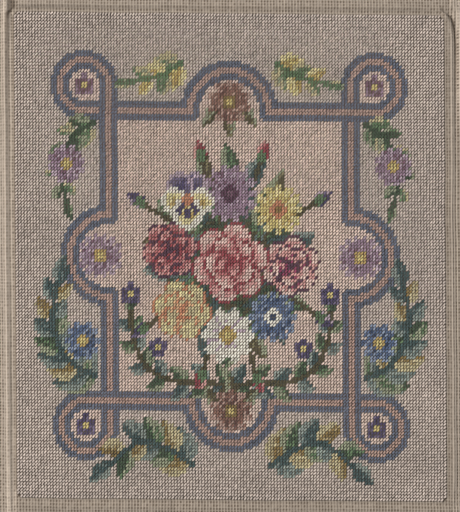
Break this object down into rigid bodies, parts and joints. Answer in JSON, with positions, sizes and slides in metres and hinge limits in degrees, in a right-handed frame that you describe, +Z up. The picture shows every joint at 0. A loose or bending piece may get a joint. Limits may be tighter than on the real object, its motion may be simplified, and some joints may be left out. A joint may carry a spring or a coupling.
{
  "type": "needlepoint panel",
  "caption": "Flat needlepoint panel: a canvas worked in wool tent stitch with a framed flower design, inside a bare, creased canvas margin.",
  "frame": {"origin": "middle of the underside, on the surface that the panel lies on", "axes": "+Z up out of the worked face, +Y towards the top of the design, +X to its right"},
  "size_m": [0.4246, 0.473, 0.0058],
  "materials": {
    "canvas": "unworked double-thread cotton canvas, matt",
    "ground_wool": "oatmeal tapestry wool, matt",
    "inner_ground_wool": "pale shell-pink tapestry wool, matt",
    "band_wool": "slate-blue and salmon tapestry wool, matt",
    "leaf_wool": "teal, green and ochre tapestry wool, matt",
    "flower_wool": "rose, yellow, violet and blue tapestry wool, matt"
  },
  "bodies": {
    "root": {"panel": "canvas"}
  },
  "joints": []
}
